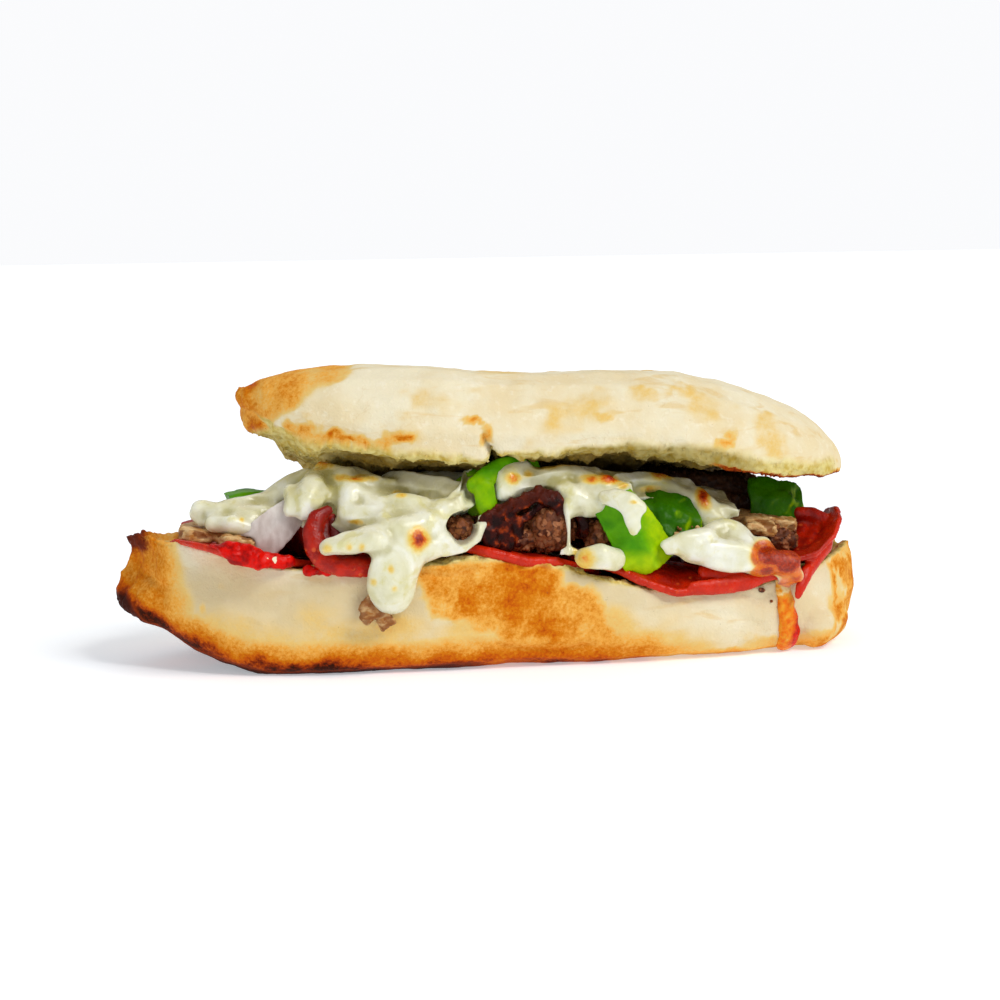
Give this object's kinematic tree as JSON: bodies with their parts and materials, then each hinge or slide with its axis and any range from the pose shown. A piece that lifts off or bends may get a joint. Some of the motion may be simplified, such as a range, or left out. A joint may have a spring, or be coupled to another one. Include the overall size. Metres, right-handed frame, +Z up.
{
  "type": "submarine sandwich",
  "caption": "Toasted hot sub roll, split lengthwise and lying closed over sliced cured sausage, crumbled beef, green pepper, mushroom and onion under browned melted cheese.",
  "frame": {"origin": "on the surface that the sandwich stands on, under the middle of its bounding box", "axes": "+X along the roll towards its blunt end, +Z up, -Y towards the open side that shows the most filling"},
  "size_m": [0.204, 0.0808, 0.0796],
  "materials": {
    "bread": "floured pale crust with golden toasting, browner at the torn end",
    "pepperoni": "oily sliced cured sausage, red-brown with pale fat specks",
    "crisp_meat": "crisped brown sausage with charred edges",
    "green_pepper": "wet skin and paler lime flesh",
    "mushroom": "roasted, tan with dark brown rims",
    "onion": "translucent, wet",
    "beef": "granular, moist, dark brown",
    "cheese": "melted and satin, with browned blisters"
  },
  "bodies": {
    "root": {"roll_lower": "bread", "roll_upper": "bread", "pepperoni_front_1": "pepperoni", "pepperoni_front_2": "pepperoni", "pepperoni_front_3": "pepperoni", "pepperoni_front_4": "pepperoni", "pepperoni_front_5": "pepperoni", "pepperoni_back_1": "pepperoni", "pepperoni_back_2": "pepperoni", "pepperoni_back_3": "pepperoni", "pepperoni_back_4": "pepperoni", "pepperoni_back_5": "pepperoni", "pepper_strip_1": "green_pepper", "pepper_strip_2": "green_pepper", "pepper_strip_3": "green_pepper", "pepper_strip_4": "green_pepper", "pepper_strip_5": "green_pepper", "pepper_strip_6": "green_pepper", "pepper_strip_7": "green_pepper", "mushroom_slice_1": "mushroom", "mushroom_slice_2": "mushroom", "mushroom_slice_3": "mushroom", "mushroom_slice_4": "mushroom", "mushroom_slice_5": "mushroom", "mushroom_slice_6": "mushroom", "onion_strip_1": "onion", "onion_strip_2": "onion", "onion_strip_3": "onion", "pepperoni_crisp": "crisp_meat", "beef_nugget_1": "beef", "beef_nugget_2": "beef", "beef_nugget_3": "beef", "beef_nugget_4": "beef", "beef_nugget_5": "beef", "beef_nugget_6": "beef", "beef_filling": "beef", "cheese_blanket": "cheese", "cheese_left": "cheese", "cheese_right": "cheese", "cheese_finger": "cheese", "cheese_on_pepper": "cheese"}
  },
  "joints": []
}
